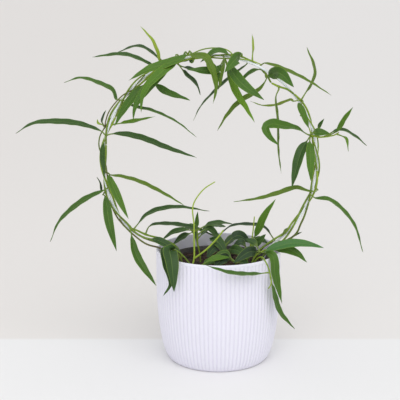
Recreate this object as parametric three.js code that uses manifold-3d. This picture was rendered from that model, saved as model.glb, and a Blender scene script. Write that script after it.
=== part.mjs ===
// A narrow-leaved hoya in a ribbed cover pot, its stems twined round a wire hoop.
// Millimetres, +Z up. The origin is the middle of the pot's flat base, and -Y is the front.
import * as THREE from 'three';
import { mergeVertices } from 'three/addons/utils/BufferGeometryUtils.js';
import Module from 'manifold-3d';

const wasm = await Module();
wasm.setup();

// Driving dimensions.
const GAP = 0.35; // between neighbouring solids

const POT_HEIGHT = 126;
const POT_RADIUS = 69.5;
const FOOT_RADIUS = 53;
const SHOULDER_HEIGHT = 90; // below it the wall curves in to the foot
const LIP_HEIGHT = 3.5; // plain band above the ribs
const RIB_COUNT = 88;
const RIB_DEPTH = 0.8;
const POT_WALL = 2.4;
const POT_FLOOR = 3;
const POT_INSIDE_SIDES = 36;

const NURSERY_TOP = 112;
const NURSERY_TOP_RADIUS = 61;
const NURSERY_BASE_RADIUS = 46;
const NURSERY_WALL = 1.2;
const NURSERY_RIM_WIDTH = 2;
const NURSERY_RIM_HEIGHT = 4;
const DRAIN_COUNT = 8;
const DRAIN_RADIUS = 4;
const NURSERY_SIDES = 28;

const SOIL_LEVEL = 107;
const SOIL_RELIEF = 1.3;
const SOIL_SIDES = 30;
const SOIL_RINGS = [12, 25, 38, 50];
const ROOT_DEPTH = 16; // how far a stem stands in the soil
const CLEAR_OF_SOIL = 112; // every stem is upright up to here

const WIRE_RADIUS = 1.3;
const HOOP_CENTRE = new THREE.Vector3(-9.5, 0, 224);
const HOOP_RADIUS = 117.5;
const HOOP_LEFT_END = 217; // degrees round from 3 o'clock, where the left leg starts
const HOOP_RIGHT_END = -43;
const HOOP_STEPS = 40;
const LEFT_LEG = [
  [-90, 0, 141.5], [-76, 0, 136], [-64, 0, 131.5], [-54, 0, 123], [-50, 0, 110], [-50, 0, 72],
];
const RIGHT_LEG = [[68, 0, 136.5], [59, 0, 129], [53, 0, 120], [50, 0, 110], [50, 0, 72]];

const STEM_RADIUS = 1.1;
const STEM_TAPER = 0.45; // of the radius, lost by the end of a stem
const STRAND_RADIUS = 0.7; // of a thin side strand
const STRAND_STEP = 7;
const TWINE_SLACK = 0.25;
const TWINE_RADIUS = WIRE_RADIUS + STEM_RADIUS + GAP + TWINE_SLACK; // from the wire's axis to a stem's
const TWINE_PITCH = 92;
const TWINE_STEP = 5; // degrees round the hoop
const PETIOLE_REACH = 6.4; // how far from the wire's axis a petiole turns away
const PETIOLE_SWING = 0.9; // the most that it turns round the wire from one point to the next, in radians
const PETIOLE_SLIDE = 1.5; // and how far it moves along the wire
const PETIOLE_RADIUS = 0.9;
const PETIOLE_LENGTH = 9;
const PETIOLE_SHARE = 0.25; // the most of a leaf's length that is petiole
const WRONG_SIDE = 7; // how far a leaf's spring point moves to leave the stem on the leaf's own side
const LEAF_THICKNESS = 1.5;
const LEAF_THINNING = 0.35; // of the thickness, lost from petiole to tip
const LEAF_GUTTER = 0.09; // how far the edges rise, of the leaf's width
const LEAF_FULLNESS = 0.85; // under 1, the blade stays broad for longer
const LEAF_LEAN = 0.72; // under 1, the broadest place lies nearer the petiole

const COLOURS = {
  pot: 0xe6e3ee,
  nursery: 0x2b2c2e,
  soil: 0x3d2c22,
  wire: 0xdfe6ea,
  leaf: 0x3f6a34,
  shoot: 0x9dbf4a,
};

// Solids and meshes.
function toSolid(geometry) {
  const bare = geometry.clone();
  bare.deleteAttribute('normal');
  bare.deleteAttribute('uv');
  const merged = mergeVertices(bare, 1e-4);
  const corners = merged.index.array;
  const kept = [];
  for (let i = 0; i < corners.length; i += 3) {
    const [a, b, c] = corners.slice(i, i + 3);
    if (a !== b && b !== c && c !== a) kept.push(a, b, c);
  }
  return new wasm.Manifold(new wasm.Mesh({
    numProp: 3,
    vertProperties: merged.attributes.position.array,
    triVerts: new Uint32Array(kept),
  }));
}

function toGeometry(solid) {
  const mesh = solid.getMesh();
  const geometry = new THREE.BufferGeometry();
  geometry.setAttribute('position', new THREE.BufferAttribute(mesh.vertProperties, 3));
  geometry.setIndex(new THREE.BufferAttribute(mesh.triVerts, 1));
  geometry.computeVertexNormals();
  return geometry;
}

// A closed body through rings of points. Both ends are fans, and a ring of one point is a tip.
function loft(rings) {
  const points = rings.flat();
  const triangles = [];
  let start = 0;
  for (let i = 0; i + 1 < rings.length; i += 1) {
    const count = rings[i].length;
    const next = start + count;
    for (let k = 0; k < count; k += 1) {
      const k1 = (k + 1) % count;
      if (rings[i + 1].length === 1) {
        triangles.push(start + k, start + k1, next);
      } else {
        triangles.push(start + k, start + k1, next + k1);
        triangles.push(start + k, next + k1, next + k);
      }
    }
    start = next;
  }
  for (let k = 1; k + 1 < rings[0].length; k += 1) triangles.push(0, k + 1, k);
  for (let k = 1; k + 1 < rings.at(-1).length; k += 1) triangles.push(start, start + k, start + k + 1);
  const coordinates = points.flatMap((point) => point.toArray());
  const geometry = new THREE.BufferGeometry();
  geometry.setAttribute('position', new THREE.Float32BufferAttribute(coordinates, 3));
  geometry.setIndex(triangles);
  return geometry;
}

function vectors(rows) {
  return rows.map((row) => new THREE.Vector3(...row));
}

function tangentAt(points, i) {
  const before = points[Math.max(i - 1, 0)];
  const after = points[Math.min(i + 1, points.length - 1)];
  return after.clone().sub(before).normalize();
}

// A round bar along the points. The radius is a number, or a function of the share of the way.
function bar(points, radius, sides = 5) {
  const side = new THREE.Vector3(0, 1, 0);
  const rings = points.map((point, i) => {
    const along = tangentAt(points, i);
    side.addScaledVector(along, -side.dot(along)).normalize();
    const up = along.clone().cross(side);
    const r = typeof radius === 'function' ? radius(i / (points.length - 1)) : radius;
    return Array.from({ length: sides }, (_, k) => {
      const turn = (2 * Math.PI * k) / sides;
      return point.clone().addScaledVector(side, r * Math.cos(turn)).addScaledVector(up, r * Math.sin(turn));
    });
  });
  return loft(rings);
}

function lathe(rows, segments) {
  const outline = rows.map(([r, z]) => new THREE.Vector2(r, z));
  return new THREE.LatheGeometry(outline, segments).rotateX(Math.PI / 2);
}

function upright(x, y, low, high, radius) {
  const peg = new THREE.CylinderGeometry(radius, radius, high - low, 6);
  return peg.rotateX(Math.PI / 2).translate(x, y, (low + high) / 2);
}

// The pots and the soil.
function potRadius(z) {
  const below = Math.max(SHOULDER_HEIGHT - z, 0) / SHOULDER_HEIGHT;
  return FOOT_RADIUS + (POT_RADIUS - FOOT_RADIUS) * Math.sqrt(1 - below * below);
}

function coverPot() {
  const ribTop = POT_HEIGHT - LIP_HEIGHT;
  const curved = [4, 12, 26, 52, SHOULDER_HEIGHT];
  const ribbed = [...curved, ribTop].map((z) => [z, 1]);
  const rows = [[0, 0], ...ribbed, [ribTop + 1, 0], [POT_HEIGHT, 0]];
  const rings = rows.map(([z, share]) => Array.from({ length: 2 * RIB_COUNT }, (_, k) => {
    const turn = (Math.PI * k) / RIB_COUNT;
    const r = potRadius(z) - (k % 2) * share * RIB_DEPTH;
    return new THREE.Vector3(r * Math.cos(turn), r * Math.sin(turn), z);
  }));
  const above = POT_HEIGHT + 1;
  const wall = [POT_FLOOR + 5, 26, SHOULDER_HEIGHT, above].map((z) => [potRadius(z) - POT_WALL, z]);
  const inside = [[0, POT_FLOOR], [FOOT_RADIUS - 4, POT_FLOOR], ...wall, [0, above], [0, POT_FLOOR]];
  return toSolid(loft(rings)).subtract(toSolid(lathe(inside, POT_INSIDE_SIDES)));
}

const NURSERY_BASE = POT_FLOOR + GAP;

function nurseryRadius(z) {
  const share = (z - NURSERY_BASE) / (NURSERY_TOP - NURSERY_BASE);
  return NURSERY_BASE_RADIUS + share * (NURSERY_TOP_RADIUS - NURSERY_BASE_RADIUS);
}

function nurseryPot() {
  const rimLow = NURSERY_TOP - NURSERY_RIM_HEIGHT;
  const floor = NURSERY_BASE + NURSERY_WALL;
  const shell = toSolid(lathe([
    [0, NURSERY_BASE],
    [nurseryRadius(NURSERY_BASE), NURSERY_BASE],
    [nurseryRadius(rimLow), rimLow],
    [nurseryRadius(rimLow) + NURSERY_RIM_WIDTH, rimLow],
    [NURSERY_TOP_RADIUS + NURSERY_RIM_WIDTH, NURSERY_TOP],
    [NURSERY_TOP_RADIUS - NURSERY_WALL, NURSERY_TOP],
    [nurseryRadius(floor) - NURSERY_WALL, floor],
    [0, floor],
    [0, NURSERY_BASE],
  ], NURSERY_SIDES));
  const ringRadius = NURSERY_BASE_RADIUS - 2.5 * DRAIN_RADIUS;
  const drains = Array.from({ length: DRAIN_COUNT }, (_, k) => {
    const turn = (2 * Math.PI * (k + 0.5)) / DRAIN_COUNT;
    const x = ringRadius * Math.cos(turn);
    const y = ringRadius * Math.sin(turn);
    return toSolid(upright(x, y, NURSERY_BASE - 1, floor + 1, DRAIN_RADIUS));
  });
  return shell.subtract(wasm.Manifold.union(drains));
}

function soilHeight(x, y) {
  const clods = Math.sin(x * 0.31 + 1.1) * Math.cos(y * 0.27) + 0.6 * Math.sin(x * 0.13 - y * 0.41);
  return SOIL_LEVEL + SOIL_RELIEF * clods;
}

function pottingSoil(holes) {
  const base = NURSERY_BASE + NURSERY_WALL + GAP;
  const edge = (z) => nurseryRadius(z) - NURSERY_WALL - 2 * GAP;
  const ring = (r, height) => Array.from({ length: SOIL_SIDES }, (_, k) => {
    const turn = (2 * Math.PI * k) / SOIL_SIDES;
    const x = r * Math.cos(turn);
    const y = r * Math.sin(turn);
    return new THREE.Vector3(x, y, height(x, y));
  });
  const rings = [ring(edge(base), () => base), ring(edge(SOIL_LEVEL) - 0.4, () => SOIL_LEVEL)];
  for (const r of SOIL_RINGS.toReversed()) rings.push(ring(r, soilHeight));
  rings.push([new THREE.Vector3(0, 0, soilHeight(0, 0))]);
  return toSolid(loft(rings)).subtract(wasm.Manifold.union(holes));
}

// The hoop. Its angle runs round from 3 o'clock, as seen from the front.
function hoopPoint(angle) {
  const turn = THREE.MathUtils.degToRad(angle);
  const radial = new THREE.Vector3(Math.cos(turn), 0, Math.sin(turn));
  return HOOP_CENTRE.clone().addScaledVector(radial, HOOP_RADIUS);
}

function hoop() {
  const arc = Array.from({ length: HOOP_STEPS + 1 }, (_, k) => (
    hoopPoint(THREE.MathUtils.lerp(HOOP_RIGHT_END, HOOP_LEFT_END, k / HOOP_STEPS))
  ));
  const way = [...vectors(RIGHT_LEG).reverse(), ...arc, ...vectors(LEFT_LEG)];
  return toSolid(bar(way, WIRE_RADIUS, 6));
}

const STEM_STEP = 5.3; // between two sections of a stem
const SHOOT_STEP = 4;

// Where each stem stands in the soil, as seen from above.
const ROOTS = {
  leftLow: [-40, -16],
  leftLowBack: [-42, 14],
  leftBare: [-46, -24],
  rightLow: [38, -8],
  rightHub: [46, -14],
  rightSlack: [44, 12],
  overLeftRim: [-30, -30],
  back: [-20, 8],
  middle: [4, 6],
  shootTall: [-30, -38],
  sproutFront: [-24, -47],
  right: [36, -20],
  rightUpright: [32, 2],
  overFrontRim: [36, -36],
  lowRight: [18, -30],
};

// Stems. Each is a list of places: a point on its axis and, on the hoop, the wire's axis beside it.
function smooth(rows, step = STEM_STEP) {
  const curve = new THREE.CatmullRomCurve3(vectors(rows));
  return curve.getSpacedPoints(Math.ceil(curve.getLength() / step)).map((point) => ({ point }));
}

function rooted([x, y], ...rest) {
  const root = SOIL_LEVEL - ROOT_DEPTH;
  return [[x, y, root], [x, y, (root + CLEAR_OF_SOIL) / 2], [x, y, CLEAR_OF_SOIL], ...rest];
}

// A stem that winds round the wire. Slack rows say where it stands off: angle, distance, spread.
function twine(phase, from, to, slack = []) {
  const steps = Math.round(Math.abs(to - from) / TWINE_STEP);
  return Array.from({ length: steps + 1 }, (_, i) => {
    const angle = from + ((to - from) * i) / steps;
    const arc = HOOP_RADIUS * THREE.MathUtils.degToRad(angle);
    const turn = THREE.MathUtils.degToRad(phase) + (2 * Math.PI * arc) / TWINE_PITCH;
    const wire = hoopPoint(angle);
    const radial = wire.clone().sub(HOOP_CENTRE).normalize();
    const out = radial.multiplyScalar(Math.cos(turn)).add(new THREE.Vector3(0, -Math.sin(turn), 0));
    let reach = TWINE_RADIUS;
    for (const [middle, distance, spread] of slack) {
      reach += distance * Math.exp(-(((angle - middle) / spread) ** 2));
    }
    return { point: wire.clone().addScaledVector(out, reach), wire, out };
  });
}

function climbing(root, wound) {
  const lead = [...root, wound[0].point.toArray(), wound[1].point.toArray()];
  return [...smooth(lead), ...wound.slice(2)];
}

// Leaves.
const LEAF_STATIONS = [0, 0.08, 0.17, 0.32, 0.5, 0.69, 0.87];
const SHORT_LEAF = 32;
const SHORT_STATIONS = [0, 0.2, 0.42, 0.7];

function halfWidth(share, width, length) {
  const petiole = Math.min(PETIOLE_LENGTH / length, PETIOLE_SHARE);
  if (share <= petiole) return PETIOLE_RADIUS;
  const along = (share - petiole) / (1 - petiole);
  return Math.max(PETIOLE_RADIUS, (width / 2) * Math.sin(Math.PI * along ** LEAF_LEAN) ** LEAF_FULLNESS);
}

// The place that a leaf springs from: near its base point and, on the hoop, on the side it leaves by.
function springPlace(places, base, towards) {
  let best = null;
  for (const place of places) {
    let cost = place.point.distanceTo(base);
    if (place.wire) {
      const away = towards.clone().sub(place.wire).normalize();
      cost += WRONG_SIDE * (1 - away.dot(place.out));
    }
    if (!best || cost < best.cost) best = { ...place, cost };
  }
  return best;
}

// The points by which a petiole passes round the wire and the other stems before it turns away.
function wayRoundWire(place, towards) {
  if (!place.wire) return [];
  const along = new THREE.Vector3(0, 1, 0).cross(place.wire.clone().sub(HOOP_CENTRE)).normalize();
  const away = towards.clone().sub(place.wire);
  const flat = away.clone().addScaledVector(along, -away.dot(along)).normalize();
  const turn = Math.atan2(place.out.clone().cross(flat).dot(along), place.out.dot(flat));
  const count = Math.max(1, Math.ceil(Math.abs(turn) / PETIOLE_SWING));
  const reach = Math.max(PETIOLE_REACH, place.point.distanceTo(place.wire) + STEM_RADIUS);
  return Array.from({ length: count }, (_, k) => {
    const out = place.out.clone().applyAxisAngle(along, (turn * (k + 0.5)) / count);
    const slide = Math.sign(away.dot(along)) * PETIOLE_SLIDE * (k + 1);
    return place.wire.clone().addScaledVector(out, reach).addScaledVector(along, slide);
  });
}

// A leaf row holds its width, how far its upper side is turned to the front in degrees (at the base
// and at the tip, if it twists), and the points of its midrib: where it springs from, the way, its tip.
function leaf(places, [width, turned, base, ...way]) {
  const rest = vectors(way);
  const place = springPlace(places, new THREE.Vector3(...base), rest[0]);
  const curve = new THREE.CatmullRomCurve3([place.point, ...wayRoundWire(place, rest[0]), ...rest]);
  const length = curve.getLength();
  const middle = curve.getTangentAt(0.6);
  const front = new THREE.Vector3(0, -1, 0);
  const hand = middle.clone().cross(front).z >= 0 ? 1 : -1;
  const [first, last = first] = [turned].flat();
  const stations = length < SHORT_LEAF ? SHORT_STATIONS : LEAF_STATIONS;
  const rings = stations.map((share) => {
    const point = curve.getPointAt(share);
    const along = curve.getTangentAt(share);
    const facing = front.clone().addScaledVector(along, -front.dot(along)).normalize();
    const rising = along.clone().cross(facing).multiplyScalar(hand);
    const turn = THREE.MathUtils.degToRad(THREE.MathUtils.lerp(first, last, share));
    const up = rising.clone().multiplyScalar(Math.cos(turn)).addScaledVector(facing, Math.sin(turn));
    const side = up.clone().cross(along);
    const half = halfWidth(share, width, length);
    const round = half === PETIOLE_RADIUS;
    const thick = round ? PETIOLE_RADIUS : (LEAF_THICKNESS / 2) * (1 - LEAF_THINNING * share);
    const gutter = round ? 0 : 2 * half * LEAF_GUTTER;
    return [
      point.clone().addScaledVector(side, half).addScaledVector(up, gutter),
      point.clone().addScaledVector(up, thick),
      point.clone().addScaledVector(side, -half).addScaledVector(up, gutter),
      point.clone().addScaledVector(up, -thick),
    ];
  });
  rings.push([curve.getPointAt(1)]);
  return toSolid(loft(rings));
}

// One stem and its leaves, as a list of solids to be fused with its side shoots.
function stem(places, leaves, radius = STEM_RADIUS) {
  const axis = places.map((place) => place.point);
  return [toSolid(bar(axis, radius)), ...leaves.map((row) => leaf(places, row))];
}

function fuse(...stems) {
  return wasm.Manifold.union(stems.flat());
}

// A side strand, which leaves a stem at one of its places and joins it again at another.
function strand(places, from, to, way) {
  const rows = [places.at(from).point.toArray(), ...way, places.at(to).point.toArray()];
  return stem(smooth(rows, STRAND_STEP), [], STRAND_RADIUS);
}

const tapered = (share) => STEM_RADIUS * (1 - STEM_TAPER * share);

// The stems on the hoop. Each winds from its own side of the wire, and is cut into lengths a small
// gap apart, so that the hole of the hoop stays open.
const CUT = 0.17; // degrees to each side of a cut
const SLACK_JOIN = -22; // degrees round, where the slack stem comes to the wire
const NODE_SLACK = [[52, 5, 6]]; // of the stem below the wire, at a joint with several leaves
const PHASE = { leftFront: 207, leftBack: 27, bare: 117, rightFront: 117, rightFore: 39, slack: 258 };

const vineLeftLow = () => fuse(stem(climbing(
  rooted(ROOTS.leftLow, [-46, -14, 124], [-62, -9, 133], [-80, -6, 138.5], [-93, -5, 146]),
  twine(PHASE.leftFront, HOOP_LEFT_END, 170 + CUT),
), [
  [9, 45, [-81, -6, 142], [-67, -15, 139], [-53, -18, 133], [-41, -22, 127.5]],
  [10, 50, [-101, 0, 149], [-91, -20, 124], [-68, -42, 95]],
  [9, 20, [-95, -3, 150], [-77, -8, 168], [-48, -12, 176], [-10, -14, 172]],
  [10, 75, [-127, -2, 195], [-120, -20, 161], [-112, -26, 130]],
  [9, 75, [-121, 0, 209], [-110, -18, 189], [-98, -32, 168]],
  [9, 18, [-122, 0, 213], [-107, -6, 209], [-86, -12, 204], [-59, -18, 192], [-37, -22, 180]],
]));

const vineLeftLowBack = () => fuse(stem(climbing(
  rooted(ROOTS.leftLowBack, [-47, 12, 124], [-62, 8, 134], [-80, 5, 140], [-93, 5, 146]),
  twine(PHASE.leftBack, HOOP_LEFT_END, 154 + CUT),
), [
  [9, 18, [-82, 5, 139], [-77, 10, 149], [-57, 18, 149], [-26, 30, 141], [-1, 36, 129]],
  [10, 25, [-128, 0, 193], [-148, -8, 183], [-175, -12, 160], [-186, -14, 137]],
  [8, 18, [-115, 0, 265], [-94, 14, 267], [-70, 24, 271]],
]));

const bareWay = climbing(
  rooted(ROOTS.leftBare, [-52, -20, 123], [-64, -11, 128.8], [-80, -8, 133], [-95, -4, 143]),
  twine(PHASE.bare, HOOP_LEFT_END, 126, [[172, 5, 9]]),
);
const vineLeftBare = () => fuse(stem(bareWay, [
  [6, 30, [-129, 0, 259], [-127, -4, 270], [-122, -8, 283]],
  [4, 30, [-130, 0, 263], [-132, 3, 267], [-133, 5, 271]],
  [4, 30, [-128, 0, 197], [-131, -2, 202], [-134, -3, 208]],
], tapered), strand(bareWay, -8, -3, [[-123, -4, 270], [-119, -7, 281], [-110, -8, 293], [-101, -8, 301]]));

const vineLeftHigh = () => fuse(stem(twine(PHASE.leftFront, 170 - CUT, 116 + CUT), [
  [8, 45, [-128, -4, 257], [-127, -14, 238], [-124, -22, 210]],
  [9, 30, [-133, 0, 254], [-151, -4, 267], [-176, -12, 271], [-200, -18, 270], [-218, -22, 260]],
  [10, 38, [-118, 0, 257], [-106, -8, 257], [-83, -14, 253], [-58, -18, 244], [-24, -20, 233]],
  [8, 16, [-105, 0, 288], [-92, -8, 287], [-72, -20, 284], [-45, -34, 274], [-24, -42, 259]],
  [11, 38, [-79, 0, 315], [-58, -9, 303], [-31, -18, 295]],
  [11, 60, [-72, 0, 320], [-90, -10, 300], [-103, -11, 283], [-113, -10, 266]],
]));

const vineLeftHighBack = () => fuse(stem(twine(PHASE.leftBack, 154 - CUT, 98), [
  [9, 25, [-107, 0, 295], [-116, 8, 302], [-130, 18, 308], [-153, 30, 313], [-172, 38, 307]],
  [10, 40, [-16, 6, 338], [-42, 14, 335], [-66, 17, 320]],
  [8, 12, [-55, 0, 338], [-86, 18, 349], [-118, 34, 338]],
  [9, 22, [-66, 0, 335], [-100, -14, 343], [-134, -26, 342]],
  [7, 28, [-61, 0, 335], [-71, -4, 356], [-84, -8, 373]],
  [9, 20, [-48, 0, 330], [-36, 8, 320], [-25, 12, 309], [-20, 16, 296]],
  [8, 22, [-36, 0, 325], [-25, 14, 324], [-13, 26, 325]],
], tapered));

const topWay = twine(PHASE.leftFront, 116 - CUT, 63);
const vineTop = () => fuse(stem(topWay, [
  [12, 55, [-42, 0, 336], [-61, -24, 326], [-75, -36, 313], [-81, -42, 300], [-82, -45, 286]],
  [12, 38, [-29, 0, 342], [-55, -14, 334], [-76, -20, 328], [-96, -24, 317]],
  [11, 45, [3, 0, 338], [-4, -16, 327], [-34, -20, 328]],
  [12, 60, [-51, 0, 331], [-73, -17, 312], [-88, -24, 292], [-92, -26, 275]],
  [11, 60, [-19, 0, 339], [-9, -14, 331], [-2, -18, 321], [3, -20, 311]],
  [10, 40, [-29, 0, 343], [-15, -22, 341], [-8, -30, 329], [-4, -36, 311], [-7, -40, 294]],
  [13, 65, [3, 0, 332], [22, -30, 316], [47, -36, 298]],
  [10, 55, [1, 0, 330], [18, -14, 303], [28, -20, 288], [38, -24, 272]],
  [10, 35, [12, 0, 336], [-1, -8, 347], [-20, -12, 335]],
  [7, 25, [35, 0, 333], [36, -3, 345], [35, -6, 364]],
], tapered), strand(topWay, 3, 8, [[-18, 4, 347], [-4, 0, 349], [8, -4, 347.5], [14, -6, 343]]));

const vineRightLow = () => fuse(stem(climbing(
  rooted(ROOTS.rightLow, [42, -8, 122], [52, -7, 131], [64, -5, 139]),
  twine(PHASE.rightFront, HOOP_RIGHT_END, -4 - CUT),
), [
  [8, 22, [101, 0, 196], [85, -8, 197], [66, -12, 192], [45, -16, 187], [16, -20, 184]],
  [5, 25, [69, -3, 142], [73, -7, 147], [77, -8, 152]],
]));

const vineRightHigh = () => fuse(stem(twine(PHASE.rightFront, -4 + CUT, 40 - CUT), [
  [9, 32, [92, 0, 293], [103, 3, 322], [94, 0, 350]],
  [6, 12, [85, 0, 288], [62, 14, 285], [48, 20, 284], [35, 26, 288]],
  [9, 60, [86, 0, 292], [86, -10, 290], [90, -13, 280], [97, -14, 264]],
]));

const vineRightShoulder = () => fuse(stem(twine(PHASE.rightFront, 40 + CUT, 53 - CUT, NODE_SLACK), [
  [8, 25, [66, 0, 309], [61, -8, 297], [63, -12, 271], [64, -14, 240], [68, -14, 214]],
]));

const vineTopRight = () => fuse(stem(twine(PHASE.rightFront, 53 + CUT, 104, NODE_SLACK), [
  [9, 25, [53, 0, 319], [44, -4, 305], [22, -6, 291], [8, -14, 277], [-2, -20, 262]],
  [9, 28, [57, 0, 324], [45, 8, 325], [34, 9, 321], [23, 8, 311]],
  [14, 85, [52, 0, 324], [64, -28, 325], [77, -48, 313]],
  [8, 30, [8, 0, 344], [4, -26, 328], [-1, -29, 307]],
  [13, 88, [26, 0, 345], [17, -26, 340], [5, -44, 328]],
  [8, 15, [33, 0, 329], [14, 12, 317], [-8, 18, 296], [-20, 22, 282], [-28, 24, 266]],
  [9, 22, [42, 0, 331], [60, -3, 330], [91, -12, 317], [120, -14, 300]],
], tapered));

const vineRightHubLow = () => fuse(stem(climbing(
  rooted(ROOTS.rightHub, [51, -12, 122], [61, -11, 130], [70, -8, 135.5]),
  twine(PHASE.rightFore, HOOP_RIGHT_END, -8 - CUT),
), []));

const vineRightHub = () => fuse(stem(twine(PHASE.rightFore, -8 + CUT, 20), [
  [12, 60, [96, 0, 254], [89, -16, 239], [79, -22, 200]],
  [9, 55, [102, 0, 256], [108, -9, 259], [120, -12, 258]],
  [11, 70, [101, 0, 254], [98, -20, 239], [99, -28, 209]],
  [13, [-5, 95], [96, 0, 257], [85, -10, 263], [70, -16, 267], [56, -22, 270], [50, -26, 267],
    [53, -29, 259], [64, -30, 248]],
], tapered), stem(smooth([
  [100.2, -1.2, 254.2], [103, -6, 254.5], [109, -5, 253], [116, 0, 252.5], [122, 1, 253], [127, 0, 254.5],
  [131, -3, 258],
], SHOOT_STEP), [
  [5, 45, [108, -5, 253], [109, -4, 263], [114, -8, 274]],
  [8, 22, [113, 4, 254], [132, -4, 261], [147, -9, 255], [160, -14, 245]],
  [7, 40, [119, 1, 252.5], [129, -4, 260], [136, -11, 274], [143, -20, 288]],
  [6, 25, [129, -2, 257], [139, 3, 250], [143, 6, 235]],
], tapered));

const vineRightSlackLow = () => fuse(stem(climbing(
  rooted(
    ROOTS.rightSlack, [49, 10, 122], [57, 9, 129], [66, 8.5, 131], [74, 8, 132], [81, 6.5, 135.5],
    [88, 4, 143], [91.5, 1, 153], [95, -1, 162],
  ),
  twine(PHASE.slack, SLACK_JOIN - TWINE_STEP, SLACK_JOIN - CUT),
), [
  [8, 15, [63, 6, 137], [52, 20, 145], [37, 28, 146], [16, 34, 143], [1, 40, 130]],
  [4, 20, [78, 7, 134], [86, 9, 138], [94, 7, 143]],
]));

const vineRightSlack = () => fuse(stem(twine(PHASE.slack, SLACK_JOIN + CUT, 34), [
  [9, 28, [105, 0, 190], [122, -6, 183], [148, -10, 158], [160, -14, 125]],
  [7, 20, [95, 0, 284], [99, 10, 272], [103, 14, 261]],
], tapered));

// The stems and shoots that stand in the pot or hang over its rim.
const stemOverLeftRim = () => fuse(stem(smooth(rooted(
  ROOTS.overLeftRim, [-36, -29, 122], [-46, -28, 131], [-57, -27, 135],
)), [
  [9, 60, [-57, -27, 135], [-60, -46, 136], [-57, -58, 124], [-52, -66, 106], [-60, -68, 92]],
  [16, 75, [-48, -28, 132], [-53, -50, 138], [-51, -62, 130], [-49, -69, 112], [-48, -72, 98]],
], tapered));

const stemBack = () => fuse(stem(smooth(rooted(ROOTS.back, [-23, 6, 130], [-24, 5, 150])), [
  [8, 25, [-24, 5, 146], [-14, 8, 150], [-1, 14, 152], [16, 24, 148]],
  [5, 70, [-24, 5, 140], [-24, 3, 152], [-23, 1, 168]],
  [9, 45, [-23, 6, 138], [-12, 9, 146], [-5, 12, 141.5], [1, 14, 131]],
  [9, 35, [-24, 5, 146], [-41, 7, 145], [-52, 10, 141], [-63, 14, 132]],
  [9, 35, [-24, 5, 144], [-39, 10, 137], [-52, 14, 126]],
  [10, 30, [-22, 7, 125], [-30, 35, 140], [-42, 62, 130]],
  [10, 30, [-23, 6, 135], [-6, 42, 142], [10, 72, 132]],
], tapered));

const stemMiddle = () => fuse(stem(smooth(rooted(ROOTS.middle, [7, 9, 126])), [
  [12, 45, [7, 9, 124], [22, 13, 137], [38, 16, 127]],
  [13, 60, [5, 7, 124], [-4, 2, 137], [4, -8, 129], [9, -14, 119]],
  [11, 50, [5, 7, 120], [20, -8, 126], [34, -22, 119]],
  [12, 60, [5, 7, 119], [-4, -8, 129], [-13, -24, 122]],
  [10, 30, [6, 8, 122], [15, 34, 127], [27, 57, 128]],
], tapered));

const stemLowRight = () => fuse(stem(smooth(rooted(ROOTS.lowRight, [19, -31, 118])), [
  [12, 60, [19, -31, 117], [6, -40, 126], [-6, -50, 118]],
  [11, 45, [19, -31, 118], [26, -44, 122], [30, -54, 117]],
  [12, 55, [19, -31, 116], [8, -22, 124], [-8, -26, 119]],
], tapered));

const shootTall = () => fuse(
  stem(smooth(rooted(
    ROOTS.shootTall, [-27, -35, 124], [-27, -30, 147], [-27, -28, 160], [-28, -24, 181], [-17, -22, 198],
    [-4, -22, 207],
  )), [], tapered),
  stem(smooth([[-27, -35, 124], [-13, -32, 134], [1, -30, 149], [5, -30, 155]]), [], tapered),
);

const sproutFront = () => fuse(stem(smooth(rooted(ROOTS.sproutFront, [-22, -47, 118])), [
  [8, 30, [-22, -47, 117], [-6, -46, 127], [12, -40, 127]],
  [8, 45, [-23, -47, 115], [-10, -36, 121], [6, -30, 118]],
], tapered));

const stemRight = () => fuse(stem(smooth(rooted(ROOTS.right, [42, -21, 124], [50, -22, 130])), [
  [11, 50, [41, -21, 122], [60, -22, 132.5], [80, -20, 137], [97, -18, 136], [116, -20, 132]],
  [11, 50, [49, -22, 130], [74, -13, 129], [88, -14, 123], [98, -16, 114]],
  [11, 60, [47, -22, 128], [58, -41, 129], [61, -44, 108], [69, -42, 75]],
  [12, 70, [45, -21, 127], [32, -44, 134], [15, -58, 126]],
  [9, 50, [46, -21, 128], [40, -18, 136], [30, -14, 141]],
], tapered));

const stemRightUpright = () => fuse(stem(smooth(rooted(
  ROOTS.rightUpright, [36, -2, 130], [38, -3, 142], [40, -1, 163],
)), [
  [9, 55, [36, -2, 130], [45, -10, 152], [50, -14, 166], [62, -20, 187]],
  [9, 45, [35, -1, 124], [26, -2, 133], [16, 0, 128]],
  [9, 40, [36, -1, 126], [46, 6, 134], [56, 4, 130]],
  [9, 50, [36, -2, 128], [46, -12, 138], [52, -14, 146]],
], tapered));

const stemOverFrontRim = () => fuse(stem(smooth(rooted(
  ROOTS.overFrontRim, [40, -41, 124], [46, -48, 129.5], [52, -57, 122], [55, -56, 111], [56, -54, 101],
  [53, -55, 96],
)), [
  [9, 35, [56, -54, 111], [61, -46, 82], [67, -42, 65], [84, -38, 44]],
  [9, 14, [55, -55, 113], [31, -71, 117], [10, -81, 122], [-14, -84, 131]],
], tapered));

// The holes that the stems and the hoop stand in.
function holes() {
  const stems = Object.values(ROOTS).map(([x, y]) => upright(
    x, y, SOIL_LEVEL - ROOT_DEPTH - GAP, CLEAR_OF_SOIL, STEM_RADIUS + 2 * GAP,
  ));
  const legs = [LEFT_LEG, RIGHT_LEG].map((leg) => {
    const [x, y, low] = leg.at(-1);
    return upright(x, y, low - GAP, CLEAR_OF_SOIL, WIRE_RADIUS + 2 * GAP);
  });
  return [...stems, ...legs].map(toSolid);
}

// The scene.
const plant = new THREE.Group();

function add(name, solid, colour, roughness) {
  const material = new THREE.MeshStandardMaterial({ color: colour, roughness, metalness: 0 });
  const mesh = new THREE.Mesh(toGeometry(solid), material);
  mesh.name = name;
  plant.add(mesh);
}

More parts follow.
